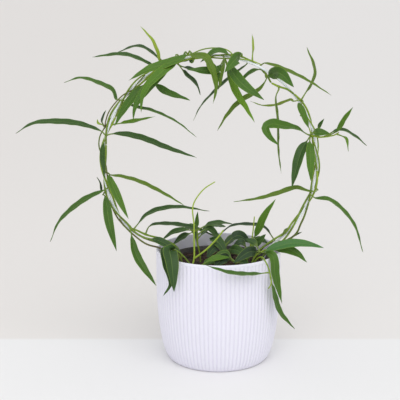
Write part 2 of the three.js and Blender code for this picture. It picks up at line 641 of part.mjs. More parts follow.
add('cover_pot', coverPot(), COLOURS.pot, 0.5);
add('nursery_pot', nurseryPot(), COLOURS.nursery, 0.6);
add('potting_soil', pottingSoil(holes()), COLOURS.soil, 0.95);
add('hoop', hoop(), COLOURS.wire, 0.45);

const FOLIAGE = {
  vine_left_low: vineLeftLow,
  vine_left_low_back: vineLeftLowBack,
  vine_left_bare: vineLeftBare,
  vine_left_high: vineLeftHigh,
  vine_left_high_back: vineLeftHighBack,
  vine_top: vineTop,
  vine_right_low: vineRightLow,
  vine_right_high: vineRightHigh,
  vine_right_shoulder: vineRightShoulder,
  vine_top_right: vineTopRight,
  vine_right_hub_low: vineRightHubLow,
  vine_right_hub: vineRightHub,
  vine_right_slack_low: vineRightSlackLow,
  vine_right_slack: vineRightSlack,
  stem_over_left_rim: stemOverLeftRim,
  stem_back: stemBack,
  stem_middle: stemMiddle,
  stem_low_right: stemLowRight,
  stem_right: stemRight,
  stem_right_upright: stemRightUpright,
  stem_over_front_rim: stemOverFrontRim,
  sprout_front: sproutFront,
};
for (const [name, make] of Object.entries(FOLIAGE)) add(name, make(), COLOURS.leaf, 0.45);
add('shoot_tall', shootTall(), COLOURS.shoot, 0.45);

export default plant;
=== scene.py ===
# A narrow-leaved hoya in a ribbed cover pot, its stems twined round a wire hoop.
# The tables are in millimetres and degrees, as in the part's source. Every mesh is in metres.
import math
import random
from collections import namedtuple

import bmesh
import bpy
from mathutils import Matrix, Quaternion, Vector, noise


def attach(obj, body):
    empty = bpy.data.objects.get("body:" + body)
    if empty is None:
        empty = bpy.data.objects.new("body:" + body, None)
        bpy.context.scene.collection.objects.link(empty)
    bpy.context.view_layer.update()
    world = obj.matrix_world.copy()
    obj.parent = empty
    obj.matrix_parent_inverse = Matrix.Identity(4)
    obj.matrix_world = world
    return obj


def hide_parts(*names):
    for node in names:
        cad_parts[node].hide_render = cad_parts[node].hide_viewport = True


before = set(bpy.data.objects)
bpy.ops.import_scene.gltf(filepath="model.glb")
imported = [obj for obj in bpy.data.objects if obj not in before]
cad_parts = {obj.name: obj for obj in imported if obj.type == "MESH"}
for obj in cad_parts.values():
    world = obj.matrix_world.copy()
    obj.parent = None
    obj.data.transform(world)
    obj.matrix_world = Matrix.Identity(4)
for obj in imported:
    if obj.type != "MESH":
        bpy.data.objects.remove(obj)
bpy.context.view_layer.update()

MM = 0.001
FRONT = Vector((0, -1, 0))

# The driving dimensions of the pots, the soil and the hoop.
POT_HEIGHT = 126
POT_RADIUS = 69.5
FOOT_RADIUS = 53
SHOULDER_HEIGHT = 90
LIP_HEIGHT = 3.5
RIB_COUNT = 88
RIB_DEPTH = 0.8
POT_WALL = 2.4
POT_FLOOR = 3
GAP = 0.35
NURSERY_BASE = POT_FLOOR + GAP
NURSERY_TOP = 112
NURSERY_TOP_RADIUS = 61
NURSERY_BASE_RADIUS = 46
NURSERY_WALL = 1.2
NURSERY_RIM_WIDTH = 2
NURSERY_RIM_HEIGHT = 4
DRAIN_COUNT = 8
DRAIN_RADIUS = 4
SOIL_LEVEL = 107
SOIL_RELIEF = 1.3
ROOT_DEPTH = 16
CLEAR_OF_SOIL = 112
WIRE_RADIUS = 1.3
HOOP_CENTRE = Vector((-9.5, 0, 224))
HOOP_RADIUS = 117.5
HOOP_LEFT_END = 217
HOOP_RIGHT_END = -43
LEFT_LEG = [(-90, 0, 141.5), (-76, 0, 136), (-64, 0, 131.5), (-54, 0, 123), (-50, 0, 110), (-50, 0, 72)]
RIGHT_LEG = [(68, 0, 136.5), (59, 0, 129), (53, 0, 120), (50, 0, 110), (50, 0, 72)]

# The driving dimensions of the stems and leaves.
STEM_RADIUS = 1.1
STEM_TAPER = 0.45
STEM_STEP = 5.3
STRAND_RADIUS = 0.7
STRAND_STEP = 7
SHOOT_STEP = 4
TWINE_SLACK = 0.25
TWINE_RADIUS = WIRE_RADIUS + STEM_RADIUS + GAP + TWINE_SLACK
TWINE_PITCH = 92
TWINE_STEP = 5
PETIOLE_REACH = 6.4
PETIOLE_SWING = 0.9
PETIOLE_SLIDE = 1.5
PETIOLE_RADIUS = 0.9
PETIOLE_LENGTH = 9
PETIOLE_SHARE = 0.25
WRONG_SIDE = 7
LEAF_FULLNESS = 0.85
LEAF_LEAN = 0.72

# What the dressed pieces have beyond the solids: how finely they are made, and their small relief.
POT_CURVE_ROWS = 26
POT_UPPER_ROWS = (100, 110, 118)
POT_INNER_ROWS = (110, SHOULDER_HEIGHT, 60, 40, 26, 16, POT_FLOOR + 5, POT_FLOOR + 1.5)
POT_EDGE = 1.0  # radius of the rounded lip
POT_EDGE_ROWS = 6
RIB_FACETS = 10
RIB_FLATNESS = 0.7  # under 1, a rib is broad and its groove is narrow
NURSERY_SIDES = 128
DRAIN_SIDES = 24
SOIL_COLUMNS = 180
SOIL_ROWS = 46
SOIL_BEVEL = 2
SOIL_SHOULDER = 6
SOIL_EDGE_DROP = 0.8
SOIL_LUMPS = 1.5
LUMP_RATE = 0.16
SOIL_GRIT = 0.7
GRIT_RATE = 0.6
CRUMB_COUNT = 520
CRUMB_SIZE = 0.7
CRUMB_SPREAD = 2.1
CRUMB_ROUGHNESS = 0.45
CRUMB_SEED = 11
HOOP_STEPS = 44
HOOP_RINGS = 360
HOOP_SIDES = 16
STEM_RING_STEP = 1.4
STEM_SIDES = 10
JOINT_SWELLING = 0.28
JOINT_LENGTH = 1.8
STEM_ROUGHNESS = 0.06
STEM_ROOT_SHARE = 0.8  # of the radius, at the first ring
STEM_END_SHARE = 0.55
LEAF_STATIONS = 34
STATION_POWER = 0.95  # under 1, the sections stand closer together towards the tip
LEAF_HALF_THICKNESS = 0.5
LEAF_END_SHARE = 0.45  # of the thickness, at the tip
LEAF_TIP = 0.12
LEAF_ROLL = (4, 9)  # degrees, drawn for each leaf
LEAF_FOLD = (0.2, 0.3)  # the rise of the edges as a share of the half width, drawn for each leaf
LEAF_CURL = 1.25  # over 1, the blade is flat by its midrib and rises at its edges
BLADE_START = 7  # the length over which the petiole opens into the blade
PETIOLE_ENDS = (1.1, 0.75)  # shares of its radius, at the stem and at the blade
EDGE_WAVE = 0.28
EDGE_WAVE_RATE = 0.42
FURROW_DEPTH = 0.25  # above the midrib
FURROW_WIDTH = 0.12
FURROW_FROM = 1.5  # the half width of the blade where the furrow starts
RIDGE_HEIGHT = 0.3  # below the midrib
RIDGE_WIDTH = 0.16
TONE_SPREAD = 0.05


def smoothstep(low, high, value):
    share = min(max((value - low) / (high - low), 0), 1)
    return share * share * (3 - 2 * share)


def mix(a, b, share):
    return a + (b - a) * share


# Curves.
class Curve:
    """A centripetal Catmull-Rom curve through points, read by the share of its length."""

    DIVISIONS = 200
    NUDGE = 1e-4

    def __init__(self, points):
        self.points = [Vector(point) for point in points]
        spots = [self.spot(i / self.DIVISIONS) for i in range(self.DIVISIONS + 1)]
        self.lengths = [0.0]
        for here, there in zip(spots, spots[1:]):
            self.lengths.append(self.lengths[-1] + (there - here).length)
        self.length = self.lengths[-1]

    def spot(self, t):
        points = self.points
        last = len(points) - 1
        i = min(int(t * last), last - 1)
        w = t * last - i
        here, there = points[i], points[i + 1]
        before = points[i - 1] if i > 0 else 2 * here - there
        after = points[i + 2] if i + 2 <= last else 2 * there - here
        d0, d1, d2 = ((b - a).length ** 0.5 for a, b in ((before, here), (here, there), (there, after)))
        leave = ((here - before) / d0 - (there - before) / (d0 + d1) + (there - here) / d1) * d1
        arrive = ((there - here) / d1 - (after - here) / (d1 + d2) + (after - there) / d2) * d1
        bend = -3 * here + 3 * there - 2 * leave - arrive
        return here + leave * w + bend * w * w + (2 * here - 2 * there + leave + arrive) * w ** 3

    def time(self, share):
        target = share * self.length
        low, high = 0, self.DIVISIONS
        while high - low > 1:
            middle = (low + high) // 2
            if self.lengths[middle] <= target:
                low = middle
            else:
                high = middle
        span = self.lengths[high] - self.lengths[low]
        return (low + (target - self.lengths[low]) / span) / self.DIVISIONS

    def at(self, share):
        return self.spot(self.time(share))

    def tangent(self, share):
        t = self.time(share)
        ahead = self.spot(min(t + self.NUDGE, 1))
        return (ahead - self.spot(max(t - self.NUDGE, 0))).normalized()


# Meshes.
class Shape:
    """Vertices in millimetres, faces, and one number of each kind for every vertex."""

    def __init__(self, *kinds):
        self.vertices = []
        self.faces = []
        self.values = {kind: [] for kind in kinds}

    def ring(self, points, **values):
        """Adds points and their values, each a number or a list, and returns where they start."""
        start = len(self.vertices)
        self.vertices.extend(points)
        for kind, value in values.items():
            self.values[kind].extend(value if isinstance(value, list) else [value] * len(points))
        return start

    def bridge(self, start, after, count):
        for k in range(count):
            k1 = (k + 1) % count
            self.faces.append((start + k, start + k1, after + k1, after + k))

    def cap(self, start, count, first):
        order = range(count - 1, -1, -1) if first else range(count)
        self.faces.append([start + k for k in order])

    def loft(self, rings):
        """Closes a body through rings of (points, values) that all have as many points."""
        starts = [self.ring(points, **values) for points, values in rings]
        count = len(rings[0][0])
        for start, after in zip(starts, starts[1:]):
            self.bridge(start, after, count)
        self.cap(starts[0], count, True)
        self.cap(starts[-1], count, False)

    def build(self, name, material):
        mesh = bpy.data.meshes.new(name)
        mesh.from_pydata([point * MM for point in self.vertices], [], self.faces)
        for kind, numbers in self.values.items():
            mesh.attributes.new(kind, "FLOAT", "POINT").data.foreach_set("value", numbers)
        mesh.polygons.foreach_set("use_smooth", [True] * len(mesh.polygons))
        mesh.materials.append(material)
        piece = bpy.data.objects.new(name, mesh)
        bpy.context.scene.collection.objects.link(piece)
        return piece


def place_piece(piece, slot, *nodes):
    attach(piece, "root")
    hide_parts(*nodes)


def tube_rings(points, radii, sides, **values):
    """The rings of a round bar along the points, for Shape.loft. A list of values has one for each ring."""
    rings = []
    side = Vector((0, 1, 0))
    for i, (point, radius) in enumerate(zip(points, radii)):
        along = (points[min(i + 1, len(points) - 1)] - points[max(i - 1, 0)]).normalized()
        side = (side - along * side.dot(along)).normalized()
        up = along.cross(side)
        circle = []
        for k in range(sides):
            turn = math.tau * k / sides
            circle.append(point + side * radius * math.cos(turn) + up * radius * math.sin(turn))
        rings.append((circle, {kind: numbers[i] for kind, numbers in values.items()}))
    return rings


def lathe_rings(rows, sides):
    rings = []
    for radius, z in rows:
        turns = [math.tau * k / sides for k in range(sides)]
        rings.append(([Vector((radius * math.cos(t), radius * math.sin(t), z)) for t in turns], {}))
    return rings


# Materials.
def linear(red, green, blue):
    """A colour as the eye reads it, 0 to 255, as light."""
    def light(value):
        share = value / 255
        return share / 12.92 if share <= 0.04045 else ((share + 0.055) / 1.055) ** 2.4
    return (light(red), light(green), light(blue), 1)


class Paint:
    """A material under construction: its tree, its shader, and short ways to add nodes."""

    def __init__(self, name):
        self.material = bpy.data.materials.new(name)
        self.material.use_nodes = True
        self.tree = self.material.node_tree
        self.shader = self.tree.nodes["Principled BSDF"]
        self.place = self.node("ShaderNodeTexCoord").outputs["Object"]

    def put(self, socket, value):
        if isinstance(value, bpy.types.NodeSocket):
            self.tree.links.new(value, socket)
        else:
            socket.default_value = value

    def node(self, kind, inputs=(), **settings):
        made = self.tree.nodes.new(kind)
        for key, value in settings.items():
            setattr(made, key, value)
        for key, value in dict(inputs).items():
            self.put(made.inputs[key], value)
        return made

    def set(self, **sockets):
        for key, value in sockets.items():
            self.put(self.shader.inputs[key.replace("_", " ")], value)

    def value(self, kind):
        return self.node("ShaderNodeAttribute", attribute_name=kind).outputs["Fac"]

    def noise(self, scale, detail, roughness=0.55):
        inputs = {"Vector": self.place, "Scale": scale, "Detail": detail, "Roughness": roughness}
        return self.node("ShaderNodeTexNoise", inputs).outputs["Fac"]

    def sum(self, operation, a, b=0.0, c=0.0):
        return self.node("ShaderNodeMath", {0: a, 1: b, 2: c}, operation=operation).outputs[0]

    def between(self, value, low, high):
        """0 up to low, 1 from high on."""
        inputs = {"Value": value, "From Min": low, "From Max": high}
        return self.node("ShaderNodeMapRange", inputs, interpolation_type="SMOOTHSTEP").outputs["Result"]

    def range(self, value, low, high):
        """From low where the value is 0 to high where it is 1."""
        inputs = {"Value": value, "To Min": low, "To Max": high}
        return self.node("ShaderNodeMapRange", inputs).outputs["Result"]

    def ramp(self, value, *stops):
        made = self.node("ShaderNodeValToRGB", {"Fac": value})
        elements = made.color_ramp.elements
        while len(elements) < len(stops):
            elements.new(1)
        for element, (position, colour) in zip(elements, stops):
            element.position = position
            element.color = colour
        return made.outputs["Color"]

    def blend(self, share, a, b, how="MIX"):
        made = self.node("ShaderNodeMix", data_type="RGBA", blend_type=how)
        self.put(made.inputs["Factor"], share)
        self.put(made.inputs[6], a)
        self.put(made.inputs[7], b)
        return made.outputs[2]

    def bump(self, height, distance, strength):
        inputs = {"Height": height, "Distance": distance, "Strength": strength}
        return self.node("ShaderNodeBump", inputs).outputs["Normal"]


def pot_paint():
    paint = Paint("pot_plastic")
    cloud = paint.noise(14, 2)
    grain = paint.noise(2600, 2, 0.7)
    colour = paint.blend(cloud, linear(229, 227, 238), linear(234, 233, 244))
    # Painted shade: the grooves between the ribs are blended towards a darker lilac, as if shade lay in them.
    groove = paint.sum("MULTIPLY", paint.value("groove"), 0.36)
    colour = paint.blend(groove, colour, linear(204, 198, 218))
    paint.set(
        Base_Color=colour,
        Roughness=paint.range(grain, 0.42, 0.54),
        Normal=paint.bump(grain, 0.00004, 0.6),
        Subsurface_Weight=0.06,
        Subsurface_Radius=(1.0, 0.9, 1.1),
        Subsurface_Scale=0.002,
    )
    return paint.material


def nursery_paint():
    paint = Paint("nursery_plastic")
    dust = paint.between(paint.noise(60, 5), 0.45, 0.7)
    grain = paint.noise(1500, 2)
    paint.set(
        Base_Color=paint.blend(dust, linear(58, 55, 54), linear(104, 96, 90)),
        Roughness=paint.range(dust, 0.45, 0.75),
        Normal=paint.bump(grain, 0.00005, 0.5),
    )
    return paint.material


def wire_paint():
    paint = Paint("wire_coating")
    worn = paint.noise(180, 4)
    paint.set(
        Base_Color=paint.blend(worn, linear(220, 227, 231), linear(236, 240, 242)),
        Roughness=paint.range(worn, 0.32, 0.5),
        Normal=paint.bump(paint.noise(900, 2), 0.00003, 0.5),
    )
    return paint.material


def soil_paint():
    paint = Paint("soil")
    shade = paint.value("shade")
    fine = paint.noise(900, 6, 0.7)
    mottle = paint.sum("MULTIPLY_ADD", fine, 0.5, paint.sum("MULTIPLY", shade, 0.6))
    colour = paint.ramp(
        mottle,
        (0.15, linear(22, 17, 15)),
        (0.4, linear(42, 31, 26)),
        (0.65, linear(68, 48, 38)),
        (0.95, linear(116, 88, 70)),
    )
    rough = paint.sum("ADD", fine, paint.noise(2600, 3))
    paint.set(Base_Color=colour, Roughness=0.92, Normal=paint.bump(rough, 0.0005, 0.8))
    return paint.material


def stem_paint():
    """The stems run from woody brown, age 1, to yellow green, age 0."""
    paint = Paint("stem")
    streaks = paint.noise(520, 4, 0.6)
    blotch = paint.noise(90, 3)
    age = paint.sum("MULTIPLY_ADD", blotch, 0.5, paint.sum("SUBTRACT", paint.value("age"), 0.25))
    colour = paint.ramp(
        age,
        (0.0, linear(166, 190, 62)),
        (0.3, linear(128, 156, 54)),
        (0.55, linear(106, 124, 52)),
        (0.8, linear(104, 92, 56)),
        (1.0, linear(84, 60, 44)),
    )
    colour = paint.blend(paint.range(streaks, 0.0, 0.35), colour, linear(60, 58, 40), "MULTIPLY")
    paint.set(
        Base_Color=colour,
        Roughness=paint.range(streaks, 0.45, 0.7),
        Specular_IOR_Level=0.3,
        Normal=paint.bump(streaks, 0.00012, 0.7),
        Subsurface_Weight=0.08,
        Subsurface_Radius=(0.6, 1.0, 0.2),
        Subsurface_Scale=0.001,
    )
    return paint.material


def leaf_paint():
    """A waxy leaf, seen by its age, its warmth and where on the blade a point lies."""
    paint = Paint("foliage")
    across = paint.sum("ABSOLUTE", paint.value("across"))
    share = paint.value("share")
    reach = paint.value("reach")
    upper = paint.value("upper")
    blotch = paint.noise(75, 4)
    fine = paint.noise(1400, 3, 0.6)
    tone = paint.sum("MULTIPLY_ADD", blotch, 0.16, paint.sum("SUBTRACT", paint.value("tone"), 0.08))
    colour = paint.ramp(
        tone,
        (0.0, linear(38, 50, 34)),
        (0.25, linear(52, 79, 36)),
        (0.5, linear(72, 109, 31)),
        (0.75, linear(95, 139, 26)),
        (1.0, linear(150, 172, 58)),
    )
    warmth = paint.value("warmth")
    colour = paint.blend(paint.between(warmth, 0.0, 1.5), colour, linear(136, 146, 38))
    # A lean to blue: for most leaves their own blue green, for the bluish leaf a painted sheen.
    colour = paint.blend(paint.between(warmth, 0.0, -1.5), colour, linear(66, 128, 96))
    under = paint.blend(0.45, colour, linear(128, 148, 108))
    colour = paint.blend(upper, under, colour)
    slant = paint.sum("SUBTRACT", paint.sum("MULTIPLY", reach, 0.42), paint.sum("MULTIPLY", across, 1.1))
    veins = paint.between(paint.sum("PINGPONG", slant, 0.5), 0.4, 0.5)
    blade = paint.between(across, 0.08, 0.3)
    veins = paint.sum("MULTIPLY", veins, blade)
    colour = paint.blend(paint.sum("MULTIPLY", veins, 0.12), colour, linear(116, 148, 70))
    rib = paint.sum("SUBTRACT", 1.0, paint.between(across, 0.01, 0.08))
    colour = paint.blend(paint.sum("MULTIPLY", rib, 0.28), colour, linear(138, 166, 84))
    # Painted highlight: the edges of the blade are lightened towards yellow green, as where they catch the
    # light.
    margin_highlight = paint.between(across, 0.84, 1.0)
    colour = paint.blend(paint.sum("MULTIPLY", margin_highlight, 0.5), colour, linear(138, 164, 64))
    petiole = paint.sum("SUBTRACT", 1.0, paint.between(reach, 5.0, 14.0))
    colour = paint.blend(paint.sum("MULTIPLY", petiole, 0.6), colour, linear(132, 152, 62))
    dry = paint.between(share, 0.965, 1.0)
    colour = paint.blend(paint.sum("MULTIPLY", dry, 0.7), colour, linear(92, 84, 66))
    relief = paint.sum("MULTIPLY_ADD", veins, -0.6, fine)
    paint.set(
        Base_Color=colour,
        Roughness=paint.range(blotch, 0.4, 0.56),
        Specular_IOR_Level=0.24,
        Normal=paint.bump(relief, 0.00014, 0.6),
        Subsurface_Weight=0.1,
        Subsurface_Radius=(0.4, 1.0, 0.15),
        Subsurface_Scale=0.0015,
    )
    return paint.material


POT_PAINT = pot_paint()
NURSERY_PAINT = nursery_paint()
WIRE_PAINT = wire_paint()
SOIL_PAINT = soil_paint()
STEM_PAINT = stem_paint()
LEAF_PAINT = leaf_paint()


# The pots, the soil and the hoop.
def pot_radius(z):
    below = max(SHOULDER_HEIGHT - z, 0) / SHOULDER_HEIGHT
    return FOOT_RADIUS + (POT_RADIUS - FOOT_RADIUS) * math.sqrt(1 - below * below)


def pot_profile():
    """The cover pot, up its outside and down its inside: radius, height, and how far it is ribbed."""
    rib_top = POT_HEIGHT - LIP_HEIGHT
    edge_low = POT_HEIGHT - POT_EDGE
    turns = [math.pi / 2 * k / POT_CURVE_ROWS for k in range(1, POT_CURVE_ROWS + 1)]
    heights = [SHOULDER_HEIGHT * (1 - math.cos(turn)) for turn in turns]
    heights += [*POT_UPPER_ROWS, rib_top - 1, rib_top, rib_top + 0.5, rib_top + 1, edge_low]
    rows = [(FOOT_RADIUS - 8, 0, 0), (FOOT_RADIUS - 1, 0, 0), (pot_radius(0.05), 0.05, 0)]
    for z in heights:
        ribbed = smoothstep(0.3, 5, z) * (1 - smoothstep(rib_top - 0.3, rib_top + 0.8, z))
        rows.append((pot_radius(z), z, ribbed))
    outer = POT_RADIUS - POT_EDGE
    inner = POT_RADIUS - POT_WALL + POT_EDGE
    for k in range(1, POT_EDGE_ROWS + 1):
        turn = math.pi / 2 * k / POT_EDGE_ROWS
        rows.append((outer + POT_EDGE * math.cos(turn), edge_low + POT_EDGE * math.sin(turn), 0))
    for k in range(POT_EDGE_ROWS + 1):
        turn = math.pi / 2 * k / POT_EDGE_ROWS
        rows.append((inner - POT_EDGE * math.sin(turn), edge_low + POT_EDGE * math.cos(turn), 0))
    for z in POT_INNER_ROWS:
        rows.append((pot_radius(z) - POT_WALL, z, 0))
    rows += [(FOOT_RADIUS - 4, POT_FLOOR, 0), (FOOT_RADIUS - 20, POT_FLOOR, 0)]
    return rows


def make_cover_pot():
    sides = RIB_FACETS * RIB_COUNT
    rings = []
    for radius, z, ribbed in pot_profile():
        points = []
        grooves = []
        for k in range(sides):
            turn = math.tau * k / sides
            groove = ribbed * (1 - abs(math.cos(RIB_COUNT * turn / 2)) ** RIB_FLATNESS)
            r = radius - RIB_DEPTH * groove
            points.append(Vector((r * math.cos(turn), r * math.sin(turn), z)))
            grooves.append(groove)
        # The groove values shape the ribs and also set the painted shade in the grooves, in pot_paint.
        rings.append((points, {"groove": grooves}))
    shape = Shape("groove")
    shape.loft(rings)
    place_piece(shape.build("ribbed_cover_pot", POT_PAINT), "pot_plastic", "cover_pot")


def nursery_radius(z):
    share = (z - NURSERY_BASE) / (NURSERY_TOP - NURSERY_BASE)
    return mix(NURSERY_BASE_RADIUS, NURSERY_TOP_RADIUS, share)


def make_nursery_pot():
    rim_low = NURSERY_TOP - NURSERY_RIM_HEIGHT
    floor = NURSERY_BASE + NURSERY_WALL
    rim = NURSERY_TOP_RADIUS + NURSERY_RIM_WIDTH
    rows = [(NURSERY_BASE_RADIUS - 2, NURSERY_BASE), (NURSERY_BASE_RADIUS - 0.5, NURSERY_BASE + 0.2)]
    rows += [(nursery_radius(z), z) for z in (NURSERY_BASE + 1, 30, 60, 90, rim_low)]
    rows += [(rim - 0.9, rim_low), (rim - 0.6, rim_low + 0.3)]
    rows += [(rim - 0.1, NURSERY_TOP - 0.5), (rim - 0.5, NURSERY_TOP)]
    inner = NURSERY_TOP_RADIUS - NURSERY_WALL
    rows += [(inner + 0.3, NURSERY_TOP), (inner, NURSERY_TOP - 0.4)]
    rows += [(nursery_radius(z) - NURSERY_WALL, z) for z in (90, 60, 30, floor + 1)]
    rows += [(NURSERY_BASE_RADIUS - NURSERY_WALL - 1.5, floor)]
    shape = Shape()
    shape.loft(lathe_rings(rows, NURSERY_SIDES))
    pot = shape.build("inner_nursery_pot", NURSERY_PAINT)
    drains = Shape()
    ring = NURSERY_BASE_RADIUS - 2.5 * DRAIN_RADIUS
    for k in range(DRAIN_COUNT):
        turn = math.tau * (k + 0.5) / DRAIN_COUNT
        middle = Vector((ring * math.cos(turn), ring * math.sin(turn), 0))
        ends = [middle + Vector((0, 0, z)) for z in (NURSERY_BASE - 1, floor + 1)]
        drains.loft(tube_rings(ends, [DRAIN_RADIUS] * 2, DRAIN_SIDES))
    cutter = drains.build("drain_cutter", NURSERY_PAINT)
    cut = pot.modifiers.new("drains", "BOOLEAN")
    cut.object = cutter
    cut.solver = "EXACT"
    apply_modifiers(pot)
    bpy.data.objects.remove(cutter)
    place_piece(pot, "nursery_plastic", "nursery_pot")


def apply_modifiers(piece):
    bpy.context.view_layer.update()
    graph = bpy.context.evaluated_depsgraph_get()
    finished = bpy.data.meshes.new_from_object(piece.evaluated_get(graph))
    piece.modifiers.clear()
    piece.data = finished


def soil_height(x, y):
    clods = math.sin(x * 0.31 + 1.1) * math.cos(y * 0.27) + 0.6 * math.sin(x * 0.13 - y * 0.41)
    return SOIL_LEVEL + SOIL_RELIEF * clods


def crumbs(x, y):
    """The soil's height with its lumps and crumbs."""
    lumps = noise.fractal(Vector((x, y, 0)) * LUMP_RATE, 1.0, 2.0, 3)
    grit = noise.fractal(Vector((x, y, 9)) * GRIT_RATE, 0.8, 2.0, 3)
    return soil_height(x, y) + SOIL_LUMPS * lumps + SOIL_GRIT * grit


def make_soil():
    edge = nursery_radius(SOIL_LEVEL) - NURSERY_WALL - 2 * GAP
    base = NURSERY_BASE + NURSERY_WALL + GAP
    foot = nursery_radius(base) - NURSERY_WALL - 2 * GAP
    shape = Shape("shade")
    rings = []
    below = [(foot - SOIL_BEVEL, base), (foot, base + SOIL_BEVEL), (edge - 0.5, SOIL_LEVEL - SOIL_SHOULDER)]
    for radius, z in below:
        points, _ = lathe_rings([(radius, z)], SOIL_COLUMNS)[0]
        rings.append((points, {"shade": 0.3}))
    for step in range(SOIL_ROWS):
        radius = edge * (1 - step / SOIL_ROWS)
        flat, _ = lathe_rings([(radius, 0)], SOIL_COLUMNS)[0]
        points = [Vector((p.x, p.y, crumbs(p.x, p.y) - SOIL_EDGE_DROP * (step == 0))) for p in flat]
        shades = [0.45 + 0.5 * noise.noise(p * 0.35) for p in points]
        rings.append((points, {"shade": shades}))
    shape.loft(rings)
    draw = random.Random(CRUMB_SEED)
    for _ in range(CRUMB_COUNT):
        radius = (edge - 3) * math.sqrt(draw.random())
        turn = math.tau * draw.random()
        x, y = radius * math.cos(turn), radius * math.sin(turn)
        size = CRUMB_SIZE + CRUMB_SPREAD * draw.random() ** 2
        add_crumb(shape, Vector((x, y, crumbs(x, y))), size, draw)
    place_piece(shape.build("bark_and_peat", SOIL_PAINT), "soil", "potting_soil")


def add_crumb(shape, middle, size, draw):
    """A bit of bark or peat: a squashed and roughened ball, lying as it fell."""
    flat = 0.35 + 0.4 * draw.random()
    long = 1 + 0.9 * draw.random()
    lie = Quaternion((0, 0, 1), math.tau * draw.random())
    lie @= Quaternion((1, 0, 0), 0.5 * (draw.random() - 0.5))
    shade = draw.random()
    seed = Vector((draw.random(), draw.random(), draw.random())) * 90
    ball = bmesh.new()
    bmesh.ops.create_icosphere(ball, subdivisions=2, radius=1)
    points = []
    for vertex in ball.verts:
        rough = 1 + CRUMB_ROUGHNESS * noise.noise(vertex.co * 1.3 + seed)
        local = Vector((vertex.co.x * long, vertex.co.y, vertex.co.z * flat)) * size * rough
        points.append(middle + lie @ local)
    start = shape.ring(points, shade=shade)
    shape.faces.extend([start + vertex.index for vertex in face.verts] for face in ball.faces)
    ball.free()


def hoop_point(angle):
    turn = math.radians(angle)
    return HOOP_CENTRE + Vector((math.cos(turn), 0, math.sin(turn))) * HOOP_RADIUS


def make_hoop():
    shares = [k / HOOP_STEPS for k in range(HOOP_STEPS + 1)]
    arc = [hoop_point(mix(HOOP_RIGHT_END, HOOP_LEFT_END, share)) for share in shares]
    curve = Curve([*reversed(RIGHT_LEG), *arc, *LEFT_LEG])
    points = [curve.at(k / HOOP_RINGS) for k in range(HOOP_RINGS + 1)]
    shape = Shape()
    shape.loft(tube_rings(points, [WIRE_RADIUS] * len(points), HOOP_SIDES))
    place_piece(shape.build("wire_hoop", WIRE_PAINT), "wire_coating", "hoop")


# Stems. Each is a list of places: a point on its axis and, on the hoop, the point beside it on the
# wire's axis and the direction from there to the stem.
Place = namedtuple("Place", "point wire out")


def smooth(rows, step=STEM_STEP):
    """The places of a stem that stands free, on a curve through the rows."""
    curve = Curve(rows)
    count = math.ceil(curve.length / step)
    return [Place(curve.at(k / count), None, None) for k in range(count + 1)]


def rooted(x, y, *rest):
    """The rows of a stem that comes up straight through the soil and then goes its way."""
    root = SOIL_LEVEL - ROOT_DEPTH
    return [(x, y, root), (x, y, (root + CLEAR_OF_SOIL) / 2), (x, y, CLEAR_OF_SOIL), *rest]


def twine(phase, start, end, slack=()):
    """The places of a stem that winds round the wire, from one angle on the hoop to another. Each slack
    has the angle where the stem stands off the wire, how far it does so, and over how wide an angle."""
    steps = int(abs(end - start) / TWINE_STEP + 0.5)
    places = []
    for i in range(steps + 1):
        angle = mix(start, end, i / steps)
        turn = math.radians(phase) + math.tau * HOOP_RADIUS * math.radians(angle) / TWINE_PITCH
        wire = hoop_point(angle)
        radial = (wire - HOOP_CENTRE).normalized()
        out = radial * math.cos(turn) + FRONT * math.sin(turn)
        reach = TWINE_RADIUS
        for middle, distance, spread in slack:
            reach += distance * math.exp(-(((angle - middle) / spread) ** 2))
        places.append(Place(wire + out * reach, wire, out))
    return places


def climbing(root, wound):
    """The places of a stem that comes up from its root and goes on in a winding."""
    return [*smooth([*root, wound[0].point, wound[1].point]), *wound[2:]]


# Leaves.
def leaf_half_width(share, width, length):
    """Half the width of the blade at a share of the leaf's length, and 0 on the petiole."""
    petiole = min(PETIOLE_LENGTH / length, PETIOLE_SHARE)
    if share <= petiole:
        return 0
    along = (share - petiole) / (1 - petiole)
    return width / 2 * max(math.sin(math.pi * along ** LEAF_LEAN), 0) ** LEAF_FULLNESS


def spring_place(places, base, towards):
    """The stem's place from which a leaf springs: near its base, and on its side of the wire."""
    def cost(place):
        far = (place.point - base).length
        if place.wire is None:
            return far
        away = (towards - place.wire).normalized()
        return far + WRONG_SIDE * (1 - away.dot(place.out))
    return min(places, key=cost)


def way_round_wire(place, towards):
    """The points that lead a petiole round the wire, until it faces its leaf."""
    if place.wire is None:
        return []
    along = Vector((0, 1, 0)).cross(place.wire - HOOP_CENTRE).normalized()
    away = towards - place.wire
    flat = (away - along * away.dot(along)).normalized()
    turn = math.atan2(place.out.cross(flat).dot(along), place.out.dot(flat))
    count = max(1, math.ceil(abs(turn) / PETIOLE_SWING))
    reach = max(PETIOLE_REACH, (place.point - place.wire).length + STEM_RADIUS)
    way = []
    for k in range(count):
        out = Quaternion(along, turn * (k + 0.5) / count) @ place.out
        slide = math.copysign(PETIOLE_SLIDE, away.dot(along)) * (k + 1)
        way.append(place.wire + out * reach + along * slide)
    return way


# Where a leaf's section has its points: across the blade, from one edge to the other.
SPREAD = [1, 0.93, 0.76, 0.52, 0.28, 0.1, 0, -0.1, -0.28, -0.52, -0.76, -0.93, -1]
SECTION = [(u, 1) for u in SPREAD] + [(u, -1) for u in SPREAD[-2:0:-1]]


